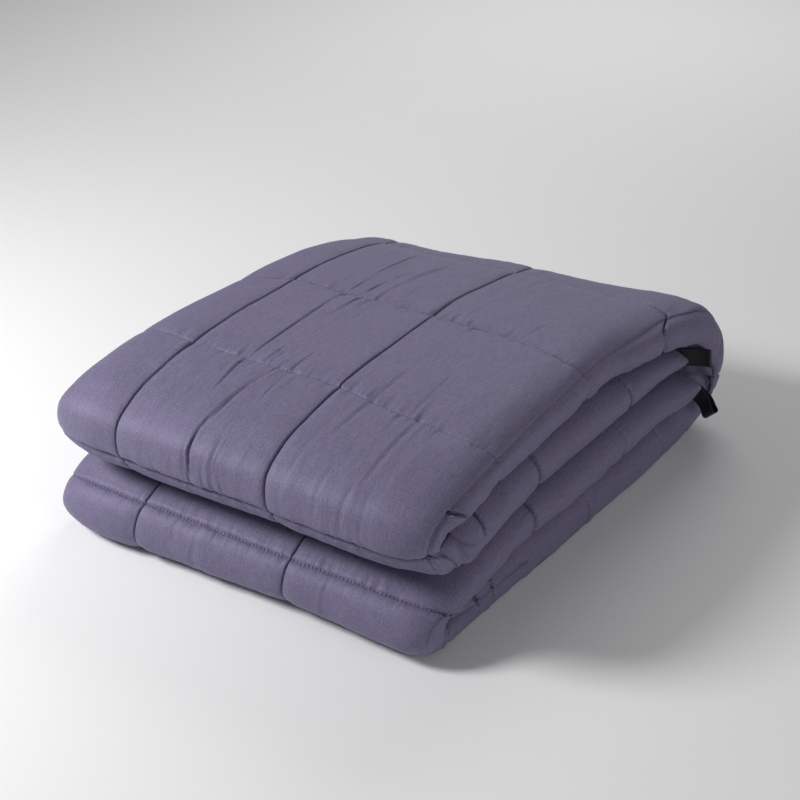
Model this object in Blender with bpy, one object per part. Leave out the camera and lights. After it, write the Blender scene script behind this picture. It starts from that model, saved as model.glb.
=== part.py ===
"""Folded weighted blanket: one quilted cloth in four thick layers, and two ribbon loops.

Metres, +Z up. X runs along the folded front edge, +Y to the back, and the blanket rests on z = 0.
The cloth is one long strip. It starts at its inner end, runs forward as layer 3, turns up and
back as layer 4 on top, wraps down round the back, runs forward as layer 1 on the ground, turns
up and ends inside the wrap as layer 2. Its "face" side is the outside of every fold.
"""
import math

import bpy
import numpy as np
from mathutils import Vector

SQUARE = 0.125            # one quilted square, and the unit of every table below

CLOTH_COLOR = (0.115, 0.105, 0.155, 1.0)
CLOTH_ROUGHNESS = 0.85
RIBBON_COLOR = (0.012, 0.012, 0.016, 1.0)
RIBBON_ROUGHNESS = 0.6

# The strip in side view, a row for each section, in squares. "face" is the outside of the folds,
# "back" the inside, "right" the hem's edge, "left" the side fold, "seam" the first long seam, and
# "hang" the side to which the hem hangs: 1 towards the back side of the cloth, -1 towards its face.
SECTION_COLUMNS = ("face_y", "face_z", "back_y", "back_z", "right", "left", "seam", "hang")
SECTIONS = (
    # layer 3, from its inner end to the front
    (2.125, 0.500, 2.130, 0.585, 2.190, -0.36, 0.00, -1.0),
    (2.080, 0.503, 2.090, 0.630, 2.185, -0.37, 0.00, -1.0),
    (1.920, 0.532, 1.920, 0.690, 2.150, -0.40, 0.00, -1.0),
    (1.500, 0.550, 1.500, 0.758, 2.110, -0.46, 0.00, -1.0),
    (0.700, 0.550, 0.700, 0.798, 2.070, -0.54, 0.00, -1.0),
    (0.050, 0.538, 0.050, 0.785, 2.045, -0.55, 0.00, -1.0),
    (-0.250, 0.495, -0.220, 0.755, 2.030, -0.55, 0.00, -1.0),
    # upper front fold
    (-0.460, 0.455, -0.370, 0.722, 2.010, -0.54, 0.00, -0.4),
    (-0.620, 0.515, -0.435, 0.714, 1.980, -0.50, 0.00, 0.6),
    (-0.725, 0.700, -0.450, 0.728, 1.975, -0.50, 0.00, 1.0),
    (-0.700, 0.860, -0.435, 0.742, 1.990, -0.50, 0.00, 1.0),
    (-0.530, 0.955, -0.370, 0.748, 2.015, -0.49, 0.00, 1.0),
    # layer 4, the top
    (-0.260, 1.010, -0.220, 0.770, 2.030, -0.47, 0.00, 1.0),
    (0.050, 1.050, 0.050, 0.797, 2.035, -0.46, 0.00, 1.0),
    (0.600, 1.060, 0.600, 0.807, 2.035, -0.46, 0.00, 1.0),
    (1.200, 1.055, 1.200, 0.805, 2.040, -0.42, 0.00, 1.0),
    (1.690, 1.000, 1.690, 0.755, 2.100, -0.37, 0.00, 1.0),
    # wrap round the back
    (2.080, 0.935, 1.980, 0.703, 2.160, -0.34, 0.00, 1.0),
    (2.360, 0.850, 2.165, 0.640, 2.240, -0.32, 0.00, 1.0),
    (2.520, 0.640, 2.245, 0.520, 2.265, -0.32, 0.00, 1.0),
    (2.525, 0.370, 2.250, 0.390, 2.265, -0.34, 0.00, 0.8),
    (2.430, 0.120, 2.180, 0.285, 2.250, -0.38, 0.00, 0.0),
    (2.230, 0.000, 2.020, 0.276, 2.210, -0.42, 0.02, -0.8),
    # layer 1, on the ground
    (1.700, 0.000, 1.700, 0.286, 2.175, -0.46, 0.045, -1.0),
    (0.900, 0.000, 0.900, 0.288, 2.095, -0.52, 0.045, -1.0),
    (0.050, 0.000, 0.050, 0.281, 2.005, -0.55, 0.045, -1.0),
    # lower front fold
    (-0.400, 0.000, -0.280, 0.235, 1.970, -0.54, 0.055, -1.0),
    (-0.645, 0.010, -0.460, 0.190, 1.975, -0.53, 0.060, -0.2),
    (-0.738, 0.130, -0.500, 0.188, 1.985, -0.53, 0.065, 0.8),
    (-0.690, 0.280, -0.485, 0.200, 1.995, -0.52, 0.060, 1.0),
    (-0.530, 0.372, -0.420, 0.216, 2.020, -0.53, 0.055, 1.0),
    # layer 2, to its inner end
    (-0.220, 0.455, -0.170, 0.260, 2.040, -0.54, 0.045, 1.0),
    (0.100, 0.522, 0.100, 0.305, 2.055, -0.55, 0.045, 1.0),
    (0.700, 0.540, 0.700, 0.309, 2.120, -0.53, 0.045, 1.0),
    (1.300, 0.540, 1.300, 0.309, 2.170, -0.48, 0.045, 1.0),
    (1.800, 0.508, 1.800, 0.304, 2.195, -0.43, 0.03, 1.0),
    (2.080, 0.452, 2.070, 0.306, 2.235, -0.40, 0.02, 1.0),
    (2.140, 0.425, 2.140, 0.330, 2.240, -0.38, 0.02, 1.0),
)
CURVE_STEPS = 24          # fine steps between two sections when lengths are measured

# Quilting: long seams run along the strip, one square apart, and cross seams over it.
CROSS_SEAM_STEPS = (0.72, 1.05, 1.00, 1.11, 0.99, 1.12, 0.87, 0.87, 0.88, 1.00, 0.985, 0.925, 1.00)
LONG_GROOVE = (0.030, 0.20)    # depth and reach to each side, in squares
CROSS_GROOVE = (0.016, 0.16)
GROOVE_SHARPNESS = 2.6
FULL_LAYER = 0.24         # layer thickness at which a groove has its full depth
ROWS_IN_SQUARE = (0.0, 0.06, 0.20, 0.80, 0.94)
END_ROWS = (0.0, 0.05, 0.13)     # rows from the strip's two ends, in squares
MIN_ROW_STEP = 0.03       # rows closer than this to another row are left out
TURN_BETWEEN_ROWS = math.radians(17)
LEFT_COLUMNS = (0.0, 0.03, 0.12, 0.28, 0.48, 0.72, 0.92)   # shares of the way to the first seam
MIDDLE_COLUMNS = (0.0, 0.045, 0.20, 0.50, 0.80, 0.955)     # shares of a square
RIGHT_COLUMNS = (0.0, 0.045, 0.20, 0.45)                   # shares of the way to the stitch
LEFT_ROUND = 0.72         # share of the left column that the side fold's rounding takes
LEFT_ROUND_POWER = 2.2
LEFT_EDGE_HEIGHT = 0.06   # the narrow flat at the very edge, in half thicknesses

# The right edge in cross section, a row for each column of points. "out" and "in" are distances
# from the perimeter stitch in squares, on the side that shows and on the side that the hem hangs
# to. "show" and "lie" are heights on those sides, in half thicknesses of the layer.
EDGE = (
    # out, show, in, lie
    (-0.280, 1.00, -0.280, -1.00),
    (-0.130, 0.94, -0.140, -1.00),
    (-0.045, 0.73, -0.070, -1.00),
    (0.000, 0.37, -0.040, -0.99),
    (0.028, 0.27, -0.020, -0.98),
    (0.052, -0.18, 0.000, -0.97),
    (0.053, -0.62, 0.018, -0.96),
    (0.040, -0.90, 0.030, -0.94),
)
STITCH_FROM_TIP = 0.045   # the perimeter stitch lies this far in from the hem's edge
HEM_WAVE_HEIGHT = 0.010   # the hem waves sideways by this much, in squares
HEM_WAVE_RATE = 2.9       # radians of that wave for each square along the strip

# The back is a little skewed, and its left corner is drawn in. All in squares.
BACK_START_Y = 1.5
BACK_SKEW = 0.10          # how much further back it lies for each square to the right
SKEW_PIVOT_X = 1.0
CORNER_DRAW = 0.26
CORNER_START_X = 0.15
CORNER_WIDTH = 0.65

# Ribbon loops, sewn to the right corners of the cloth's two inner ends. Each is a doubled ribbon.
# A row holds its name, its route out from the root in squares, the way across its width, and how
# far its two legs stand apart at the tip, in metres.
RIBBON_WIDTH = 0.0145
RIBBON_THICKNESS = 0.0010
ROOT_GAP = 0.0004         # between the two legs at the root
ROUTE_STEPS = 4
TURN_STEPS = 6
LOOPS = (
    ("loop_upper", ((2.100, 2.141, 0.535), (2.170, 2.150, 0.545), (2.235, 2.155, 0.555),
                    (2.285, 2.150, 0.562)), (-0.10, 0.0, 1.0), 0.0012),
    ("loop_lower", ((2.150, 2.158, 0.345), (2.220, 2.168, 0.305), (2.275, 2.176, 0.245),
                    (2.300, 2.172, 0.180)), (0.50, -0.10, 0.85), 0.0040),
)


def clear_scene():
    for item in list(bpy.data.objects):
        bpy.data.objects.remove(item, do_unlink=True)


def make_material(name, color, roughness):
    material = bpy.data.materials.new(name)
    material.use_nodes = True
    shader = material.node_tree.nodes["Principled BSDF"]
    shader.inputs["Base Color"].default_value = color
    shader.inputs["Roughness"].default_value = roughness
    shader.inputs["Metallic"].default_value = 0.0
    return material


def make_object(name, points, faces, material):
    mesh = bpy.data.meshes.new(name)
    mesh.from_pydata([tuple(point) for point in points], [], faces)
    mesh.materials.append(material)
    mesh.validate()
    mesh.shade_smooth()
    mesh.set_sharp_from_angle(angle=math.radians(50))
    item = bpy.data.objects.new(name, mesh)
    bpy.context.collection.objects.link(item)
    return item


def fine_sections():
    """Every section column on a smooth curve through the table's rows, and the face's length."""
    table = np.array(SECTIONS)
    steps = np.hypot(np.diff(table[:, 0]), np.diff(table[:, 1]))
    steps = np.maximum(steps, np.hypot(np.diff(table[:, 2]), np.diff(table[:, 3])))
    slopes = np.diff(table, axis=0) / steps[:, None]
    weights = (steps[1:] / (steps[1:] + steps[:-1]))[:, None]
    inner = slopes[:-1] * weights + slopes[1:] * (1.0 - weights)
    tangents = np.vstack((slopes[:1], inner, slopes[-1:]))
    rows = []
    for index, step in enumerate(steps):
        share = (np.arange(CURVE_STEPS) / CURVE_STEPS)[:, None]
        start_part = 2 * share**3 - 3 * share**2 + 1
        start_bend = share**3 - 2 * share**2 + share
        end_bend = share**3 - share**2
        rows.append(start_part * table[index] + (1 - start_part) * table[index + 1]
                    + step * (start_bend * tangents[index] + end_bend * tangents[index + 1]))
    rows.append(table[-1:])
    fine = np.vstack(rows)
    lengths = np.hypot(np.diff(fine[:, 0]), np.diff(fine[:, 1]))
    return fine, np.concatenate(([0.0], np.cumsum(lengths)))


def cross_seams(total):
    """Where the cross seams lie along the face, and the strip's two ends."""
    seams = np.cumsum(CROSS_SEAM_STEPS)
    seams = seams[seams < total - END_ROWS[-1]]
    return np.concatenate(([0.0], seams, [total]))


def bend_places(fine, lengths):
    """Places along the face between which it turns by the same small angle."""
    direction = np.unwrap(np.arctan2(np.diff(fine[:, 1]), np.diff(fine[:, 0])))
    turned = np.concatenate(([0.0], np.cumsum(np.abs(np.diff(direction)))))
    steps = np.arange(0.0, turned[-1], TURN_BETWEEN_ROWS)
    return list(np.interp(steps, turned, lengths[:-1]))


def row_places(fine, lengths, seams):
    """Where the rows of points lie along the face: on the seams, beside them and in the bends."""
    total = seams[-1]
    places = list(END_ROWS) + [total - step for step in END_ROWS]
    for start, end in zip(seams[:-1], seams[1:]):
        places += [start + share * (end - start) for share in ROWS_IN_SQUARE]
    kept = list(seams)
    for place in places + bend_places(fine, lengths):
        if min(abs(place - other) for other in kept) >= MIN_ROW_STEP:
            kept.append(place)
    return np.array(sorted(kept))


def groove(distance, depth_and_reach):
    depth, reach = depth_and_reach
    return depth * np.clip(1.0 - np.abs(distance) / reach, 0.0, 1.0) ** GROOVE_SHARPNESS


def left_rounding(share):
    """Height of the side fold's rounding, 0 at its edge and 1 where the layer has full height."""
    inward = np.clip(share / LEFT_ROUND, 0.0, 1.0)
    height = (1.0 - (1.0 - inward) ** LEFT_ROUND_POWER) ** (1.0 / LEFT_ROUND_POWER)
    return max(height, LEFT_EDGE_HEIGHT)


def column_points(left, seam, stitch, hang):
    """One row's columns as (x on the face, height, x on the back, height), heights in half
    thicknesses from the middle of the layer towards the face."""
    columns = []
    for share in LEFT_COLUMNS:
        x = left + share * (seam - left)
        height = left_rounding(share)
        columns.append((x, height, x, -height))
    for share in MIDDLE_COLUMNS:
        x = seam + share
        columns.append((x, 1.0, x, -1.0))
    for share in RIGHT_COLUMNS:
        x = seam + 1.0 + share * (stitch - seam - 1.0)
        columns.append((x, 1.0, x, -1.0))
    turn = (1.0 + hang) / 2.0
    for out, show, inner, lie in EDGE:
        face_x = turn * out + (1.0 - turn) * inner
        back_x = turn * inner + (1.0 - turn) * out
        face_height = turn * show - (1.0 - turn) * lie
        back_height = turn * lie - (1.0 - turn) * show
        columns.append((stitch + face_x, face_height, stitch + back_x, back_height))
    return columns


def drape(point):
    """Skew the back a little and draw its left corner in."""
    x, y, z = point
    behind = max(0.0, y - BACK_START_Y)
    corner = max(0.0, CORNER_START_X - x) / CORNER_WIDTH
    y += behind * (BACK_SKEW * (x - SKEW_PIVOT_X) - CORNER_DRAW * corner**2)
    return (x, y, z)


def quilt_rows():
    """The face's and the back's rows of points, as two grids in squares."""
    fine, lengths = fine_sections()
    seams = cross_seams(lengths[-1])
    face_grid = []
    back_grid = []
    for place in row_places(fine, lengths, seams):
        section = {name: np.interp(place, lengths, fine[:, index])
                   for index, name in enumerate(SECTION_COLUMNS)}
        across = np.array((section["face_y"] - section["back_y"],
                           section["face_z"] - section["back_z"]))
        middle = np.array((section["back_y"], section["back_z"])) + across / 2.0
        thickness = np.hypot(*across)
        seam = section["seam"]
        wave = HEM_WAVE_HEIGHT * math.sin(HEM_WAVE_RATE * place)
        stitch = section["right"] - STITCH_FROM_TIP + wave
        columns = column_points(section["left"], seam, stitch, section["hang"])
        cross_part = groove(np.min(np.abs(seams[1:-1] - place)), CROSS_GROOVE)
        face_row = []
        back_row = []
        for face_x, face_height, back_x, back_height in columns:
            for x, height, row in ((face_x, face_height, face_row), (back_x, back_height, back_row)):
                long_part = max(groove(x - seam, LONG_GROOVE), groove(x - seam - 1.0, LONG_GROOVE))
                sunk = math.hypot(long_part, cross_part) / max(thickness, FULL_LAYER)
                y, z = middle + height * (0.5 - sunk) * across
                row.append(drape((x, y, max(z, 0.0))))
        face_grid.append(face_row)
        back_grid.append(back_row)
    return face_grid, back_grid


def build_quilt(material):
    face_grid, back_grid = quilt_rows()
    rows = len(face_grid)
    columns = len(face_grid[0])
    points = [point for grid in (face_grid, back_grid) for row in grid for point in row]
    back_start = rows * columns

    def face_index(row, column):
        return row * columns + column

    def back_index(row, column):
        return back_start + row * columns + column

    faces = []
    for row in range(rows - 1):
        for column in range(columns - 1):
            faces.append((face_index(row, column), face_index(row, column + 1),
                          face_index(row + 1, column + 1), face_index(row + 1, column)))
            faces.append((back_index(row, column), back_index(row + 1, column),
                          back_index(row + 1, column + 1), back_index(row, column + 1)))
        faces.append((face_index(row, 0), face_index(row + 1, 0),
                      back_index(row + 1, 0), back_index(row, 0)))
        faces.append((face_index(row, columns - 1), back_index(row, columns - 1),
                      back_index(row + 1, columns - 1), face_index(row + 1, columns - 1)))
    for column in range(columns - 1):
        faces.append((face_index(0, column), back_index(0, column),
                      back_index(0, column + 1), face_index(0, column + 1)))
        faces.append((face_index(rows - 1, column), face_index(rows - 1, column + 1),
                      back_index(rows - 1, column + 1), back_index(rows - 1, column)))
    points = [tuple(SQUARE * value for value in point) for point in points]
    return make_object("quilt", points, faces, material)


def smooth_route(points):
    """A smooth curve through a few points, as arrays of places and unit directions."""
    points = np.array(points)
    padded = np.vstack((2 * points[0] - points[1], points, 2 * points[-1] - points[-2]))
    places = []
    for index in range(1, len(points)):
        before, start, end, after = padded[index - 1:index + 3]
        for share in np.arange(ROUTE_STEPS) / ROUTE_STEPS:
            places.append(0.5 * (2 * start + (end - before) * share
                                 + (2 * before - 5 * start + 4 * end - after) * share**2
                                 + (3 * start - before - 3 * end + after) * share**3))
    places.append(points[-1])
    places = np.array(places)
    directions = np.gradient(places, axis=0)
    return places, directions / np.linalg.norm(directions, axis=1)[:, None]


def build_loop(name, route, across, tip_gap, material):
    """A ribbon that runs out along the route, turns at its tip and runs back beside itself."""
    places, directions = smooth_route([SQUARE * np.array(drape(point)) for point in route])
    middles = []
    for side in (1.0, -1.0):
        shares = np.linspace(0.0, 1.0, len(places))
        leg = []
        for place, direction, share in zip(places, directions, shares):
            outward = np.cross(direction, across)
            outward /= np.linalg.norm(outward)
            half_gap = (ROOT_GAP + share * (tip_gap - ROOT_GAP) + RIBBON_THICKNESS) / 2.0
            leg.append((place + side * half_gap * outward, side * outward))
        middles.append(leg)
    tip_radius = np.linalg.norm(middles[0][-1][0] - middles[1][-1][0]) / 2.0
    turn = []
    for step in range(1, TURN_STEPS):
        angle = math.pi * step / TURN_STEPS
        outward = math.cos(angle) * middles[0][-1][1] + math.sin(angle) * directions[-1]
        turn.append((places[-1] + tip_radius * outward, outward))
    ribbon = middles[0] + turn + middles[1][::-1]

    points = []
    for index, (middle, outward) in enumerate(ribbon):
        ahead = ribbon[min(index + 1, len(ribbon) - 1)][0] - ribbon[max(index - 1, 0)][0]
        width = np.cross(ahead, outward)
        width *= RIBBON_WIDTH / 2.0 / np.linalg.norm(width)
        thick = outward * RIBBON_THICKNESS / 2.0
        points += [middle - width - thick, middle + width - thick,
                   middle + width + thick, middle - width + thick]
    faces = [(0, 1, 2, 3)]
    for ring in range(len(ribbon) - 1):
        for side in range(4):
            start = 4 * ring + side
            end = 4 * ring + (side + 1) % 4
            faces.append((start, start + 4, end + 4, end))
    last = 4 * (len(ribbon) - 1)
    faces.append((last + 3, last + 2, last + 1, last))
    return make_object(name, points, faces, material)


def centre_on_ground(items):
    """Move everything so that the origin is the bounding box's bottom centre."""
    corners = np.array([tuple(vertex.co) for item in items for vertex in item.data.vertices])
    low = corners.min(axis=0)
    high = corners.max(axis=0)
    shift = Vector(((low[0] + high[0]) / 2.0, (low[1] + high[1]) / 2.0, low[2]))
    for item in items:
        for vertex in item.data.vertices:
            vertex.co -= shift


def main():
    clear_scene()
    cloth = make_material("cloth", CLOTH_COLOR, CLOTH_ROUGHNESS)
    ribbon = make_material("ribbon", RIBBON_COLOR, RIBBON_ROUGHNESS)
    items = [build_quilt(cloth)]
    for name, route, across, tip_gap in LOOPS:
        items.append(build_loop(name, route, across, tip_gap, ribbon))
    centre_on_ground(items)


main()
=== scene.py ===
"""The looks of the folded weighted blanket: quilted cotton, its stitches and its two ribbon loops.

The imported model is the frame, in metres with +Z up. Tables are in squares, the pitch of the quilting:
X runs along the round front folds from the first long seam, Y to the back from the top's first cross
seam, and Z up from the floor.

The cloth is one strip. "Along" is the way along its outside, the face, in squares: from its inner end
under the top, round the upper front fold, over the top, down round the back, forward on the floor,
round the lower front fold and back inside. Its other side is called the back.
"""
import math
from types import SimpleNamespace

import bpy
import numpy as np
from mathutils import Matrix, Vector


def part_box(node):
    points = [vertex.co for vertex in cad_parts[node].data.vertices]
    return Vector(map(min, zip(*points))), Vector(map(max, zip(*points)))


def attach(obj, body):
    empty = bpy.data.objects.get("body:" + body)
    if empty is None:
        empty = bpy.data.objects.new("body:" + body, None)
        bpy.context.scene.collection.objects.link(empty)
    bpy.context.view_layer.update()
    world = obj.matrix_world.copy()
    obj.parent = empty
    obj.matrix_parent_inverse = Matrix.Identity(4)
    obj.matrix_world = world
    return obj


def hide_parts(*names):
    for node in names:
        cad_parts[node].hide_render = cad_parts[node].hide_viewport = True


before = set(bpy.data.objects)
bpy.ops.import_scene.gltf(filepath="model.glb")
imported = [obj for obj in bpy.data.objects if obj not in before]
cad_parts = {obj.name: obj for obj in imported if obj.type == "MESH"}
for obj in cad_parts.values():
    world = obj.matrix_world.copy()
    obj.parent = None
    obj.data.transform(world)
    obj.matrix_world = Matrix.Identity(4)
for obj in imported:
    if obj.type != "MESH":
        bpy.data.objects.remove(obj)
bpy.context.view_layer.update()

SQUARE = 0.125  # one quilted square in metres
LEFT_REACH = 0.55  # how far the solid lies left of the first long seam, in squares
FRONT_REACH = 0.738  # how far it lies in front of the top's first cross seam

# --- Camera and stage ---
CAMERA_PLACE = (4.831, -5.563, 4.725)  # squares
CAMERA_PITCH = math.radians(29.19)  # downwards
CAMERA_YAW = math.radians(31.79)  # to the left of straight back
CAMERA_LENS = 64.44
CAMERA_SENSOR = 36.0
WORLD_STRENGTH = 0.16
FLOOR_COLOR = (0.85, 0.85, 0.855)
FLOOR_REACH = 6.0  # metres
FLOOR_LEVEL = -0.0004
# Name, place, aim, size in metres and power in watts.
LIGHTS = (
    ("key", (-0.76, -0.65, 0.76), (-0.1, -0.1, 0.06), 0.36, 13.6),
    ("back", (-0.45, 1.45, 1.25), (-0.75, 1.05, 0.0), 1.2, 11.0),
    ("side", (1.35, -0.35, 0.42), (0.1, 0.0, 0.05), 0.9, 4.4),
)

# --- The folded strip in side view, a row for each section, in squares ---
# "face" and "back" are its two sides, "right" the hem's edge, "left" the side fold, "seam" the first
# long seam. "hang" is the side to which the hem hangs: 1 the back side, -1 the face. "sew" and "tip"
# are the heights of the perimeter stitch and of the hem's edge, in half thicknesses of the layer, from
# 1 on the side that shows to -1 on the other. "hem" is how far the hem stands off, 0 where it is hidden.
SECTION_COLUMNS = ("face_y", "face_z", "back_y", "back_z", "right", "left", "seam", "hang",
                   "sew", "tip", "hem")
SECTIONS = (
    # layer 3, from its inner end to the front
    (2.125, 0.5, 2.13, 0.585, 2.15, -0.36, 0, -1, -0.3, -0.9, 0),
    (2.08, 0.503, 2.09, 0.63, 2.15, -0.37, 0, -1, -0.4, -0.9, 0),
    (1.92, 0.532, 1.92, 0.69, 2.13, -0.4, 0, -1, -0.55, -0.92, 0),
    (1.5, 0.55, 1.5, 0.758, 2.11, -0.46, 0, -1, -0.6, -0.92, 0),
    (0.7, 0.55, 0.7, 0.798, 2.07, -0.54, 0, -1, -0.6, -0.92, 0),
    (0.05, 0.538, 0.05, 0.785, 2.045, -0.55, 0, -1, -0.6, -0.92, 0),
    (-0.25, 0.495, -0.22, 0.755, 2.03, -0.55, 0, -1, -0.5, -0.92, 0),
    # upper front fold
    (-0.46, 0.455, -0.37, 0.722, 2.01, -0.54, 0.03, -0.4, 0, -0.6, 0.3),
    (-0.62, 0.515, -0.435, 0.714, 1.98, -0.51, 0.035, 0.6, 0.35, -0.1, 0.9),
    (-0.728, 0.67, -0.45, 0.726, 1.975, -0.505, 0.025, 1, 0.37, 0.02, 1.4),
    (-0.705, 0.83, -0.435, 0.74, 1.99, -0.5, 0.01, 1, 0.35, 0, 1.5),
    (-0.545, 0.935, -0.37, 0.748, 2.015, -0.485, 0, 1, 0.33, -0.55, 1.2),
    # layer 4, the top
    (-0.26, 1.01, -0.22, 0.77, 2.03, -0.46, 0, 1, 0.26, -0.85, 1),
    (0.05, 1.05, 0.05, 0.797, 2.035, -0.44, 0, 1, 0.2, -0.92, 1),
    (0.6, 1.06, 0.6, 0.807, 2.035, -0.405, 0, 1, 0.28, -0.92, 1),
    (1.2, 1.055, 1.2, 0.805, 2.04, -0.375, 0, 1, 0.32, -0.92, 1),
    (1.69, 1, 1.69, 0.755, 2.1, -0.355, 0, 1, 0.4, -0.92, 1),
    # wrap round the back
    (2.08, 0.935, 1.98, 0.703, 2.145, -0.34, 0, 1, 0.5, -0.92, 1),
    (2.36, 0.85, 2.165, 0.64, 2.19, -0.32, 0, 1, 0.5, -0.92, 1),
    (2.52, 0.64, 2.245, 0.52, 2.24, -0.32, 0, 1, 0.45, -0.92, 1),
    (2.525, 0.37, 2.25, 0.39, 2.262, -0.34, 0, 0.8, 0.4, -0.92, 1),
    (2.43, 0.12, 2.18, 0.285, 2.245, -0.38, 0, 0, 0.35, -0.92, 1),
    (2.23, 0, 2.02, 0.276, 2.19, -0.42, 0.02, -0.8, 0.1, -0.92, 0.3),
    # layer 1, on the ground
    (1.7, 0, 1.7, 0.286, 2.175, -0.46, 0.045, -1, -0.3, -0.96, 0),
    (0.9, 0, 0.9, 0.288, 2.095, -0.52, 0.045, -1, -0.3, -0.96, 0),
    (0.05, 0, 0.05, 0.281, 2.005, -0.55, 0.045, -1, -0.12, -0.96, 0.5),
    # lower front fold
    (-0.4, 0, -0.28, 0.235, 1.97, -0.54, 0.055, -1, 0.02, -0.92, 0.7),
    (-0.645, 0.01, -0.46, 0.19, 1.98, -0.53, 0.08, -0.2, 0.28, -0.5, 0.9),
    (-0.738, 0.13, -0.5, 0.188, 1.99, -0.53, 0.085, 0.8, 0.37, -0.4, 1),
    (-0.69, 0.28, -0.485, 0.2, 1.995, -0.52, 0.085, 1, 0.25, -0.6, 0.7),
    (-0.53, 0.372, -0.42, 0.216, 2.02, -0.53, 0.09, 1, -0.1, -0.8, 0.2),
    # layer 2, to its inner end
    (-0.22, 0.455, -0.17, 0.26, 2.04, -0.54, 0.075, 1, -0.5, -0.92, 0),
    (0.1, 0.522, 0.1, 0.305, 2.055, -0.55, 0.045, 1, -0.6, -0.92, 0),
    (0.7, 0.54, 0.7, 0.309, 2.12, -0.53, 0.045, 1, -0.6, -0.92, 0),
    (1.3, 0.54, 1.3, 0.309, 2.17, -0.48, 0.045, 1, -0.6, -0.92, 0),
    (1.8, 0.508, 1.8, 0.304, 2.195, -0.43, 0.03, 1, -0.55, -0.92, 0),
    (2.08, 0.452, 2.07, 0.306, 2.235, -0.4, 0.02, 1, -0.4, -0.9, 0),
    (2.14, 0.425, 2.14, 0.33, 2.24, -0.38, 0.02, 1, -0.3, -0.9, 0),
)
CURVE_STEPS = 24  # fine steps between two sections when lengths are measured

# The back is a little skewed, and its left corner is drawn in.
BACK_START_Y = 1.5
BACK_SKEW = 0.1
SKEW_PIVOT_X = 1.0
CORNER_DRAW = 0.26
CORNER_START_X = 0.15
CORNER_WIDTH = 0.65

# Cross seams, a row for each: the step from the one before, the depth of its groove and of its
# gathers (shares), the gathers' reach, how deep its slot is on the right side, a rolled fold of cloth
# beside it (a share, below 0 if before the seam), and how dark the painted shade of its needle holes is (a
# share).
SEAM_COLUMNS = ("step", "depth", "gather", "reach", "side_slot", "ridge", "holes")
CROSS_SEAMS = (
    (0.72, 1, 0.8, 0.05, 0.06, 0, 0.5),  # layer 3, back
    (1.05, 1.3, 0.6, 0.05, 0.105, 0, 0.5),  # layer 3, front
    (1.135, 2.4, 1.2, 0.05, 0.01, -1, 0.9),  # under the upper front fold
    (0.975, 1, 1.6, 0.09, 0.004, 0, 0.45),  # top, first
    (0.99, 1, 1.5, 0.085, 0.004, 0, 0.45),  # top, second
    (1.12, 1, 0.8, 0.05, 0.04, 0, 0.45),  # top, third
    (0.87, 1, 0.9, 0.06, 0.01, 0, 0.5),  # down the back
    (0.87, 0.6, 0.6, 0.05, 0.01, 0, 0.5),  # on the floor
    (0.88, 0.6, 1.6, 0.07, 0.014, 0, 0.5),
    (1, 0.6, 1.6, 0.07, 0.014, 0, 1),
    (0.985, 1.4, 1.4, 0.03, 0.01, 0.6, 1),  # on the lower front fold
    (0.925, 1, 0.8, 0.05, 0.055, 0, 0.5),  # layer 2
    (1, 1, 0.6, 0.05, 0.01, 0, 0.5),
)
# How far three seams on the top run out of line, along the strip, at some places across it.
BEND_PLACES = (-0.45, -0.2, 0.02, 1.0, 1.5, 1.9, 2.06, 2.12)
BENDS = ((3, (0.03, 0.02, 0.01, 0.0, -0.08, -0.11, -0.05, -0.05)),
         (4, (-0.12, -0.09, 0.0, -0.01, -0.02, -0.09, -0.06, -0.06)),
         (5, (0.0, 0.0, 0.0, -0.04, -0.08, -0.11, -0.12, -0.33)))
CROSS_WANDER = (0.006, 0.22, 0.5)  # how far every seam wanders, over what lengths across and along

# Relief of the quilting, in squares.
LONG_SHOULDER = (0.01, 0.075)  # depth and reach of the soft sides of a long seam
LONG_SLOT = (0.024, 0.0034)  # depth and half width of the seam itself
CROSS_SHOULDER = (0.0115, 0.11)
CROSS_SLOT = (0.0035, 0.0065)
SIDE_SHOULDER = 0.35  # share of the cross seams' soft sides on the layer's right side
SIDE_SLOT_WIDTH = 0.013
SHOULDER_SHARPNESS = 2.6
SEAM_WANDER = ((0.008, 0.4), (0.0016, 0.05))  # how far a long seam wanders, and over what length
CROWN = 0.008  # extra height in the middle of a square
CROWN_POWER = 2.5  # how flat it is there
GATHER_DEPTH = 0.006
GATHER_PITCH = 0.036
GATHER_FINE = (0.5, 0.45)  # share of that depth and pitch for finer gathers between them
GATHER_DRIFT = 0.3  # how much they change on their way out from the seam
GATHER_SPREAD = (0.8, 0.12)  # how much their reach varies, and over what width
GATHER_PINNED = (0.75, 0.01)  # how much flatter the cloth lies at the stitches, and how near them
LEFT_PLAIN = (0.02, 0.3)  # between these distances from the left side, the cross seams fade
LEFT_DEPTH = 0.4  # and the share of their depth that is left there
RIDGE_HEIGHT = 0.0095
RIDGE_PLACE = 0.021
RIDGE_WIDTH = 0.0105
UNEVEN = ((0.006, 0.6, 0.9), (0.0026, 0.22, 0.45), (0.001, 0.09, 0.22))  # depth, across, along
UNEVEN_SLANT = (0.28, 0.22)  # how far its humps lean, of the way along and of that across
STREAKS = ((0.0017, 0.055, 0.6), (0.0008, 0.026, 0.25))
HIDDEN_RELIEF = 0.25  # share of the relief that is kept between the layers
EDGE_RELIEF = 0.75  # and at the least on the right side
SHOWN_MARGIN = 0.1  # length along the strip over which it changes

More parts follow.
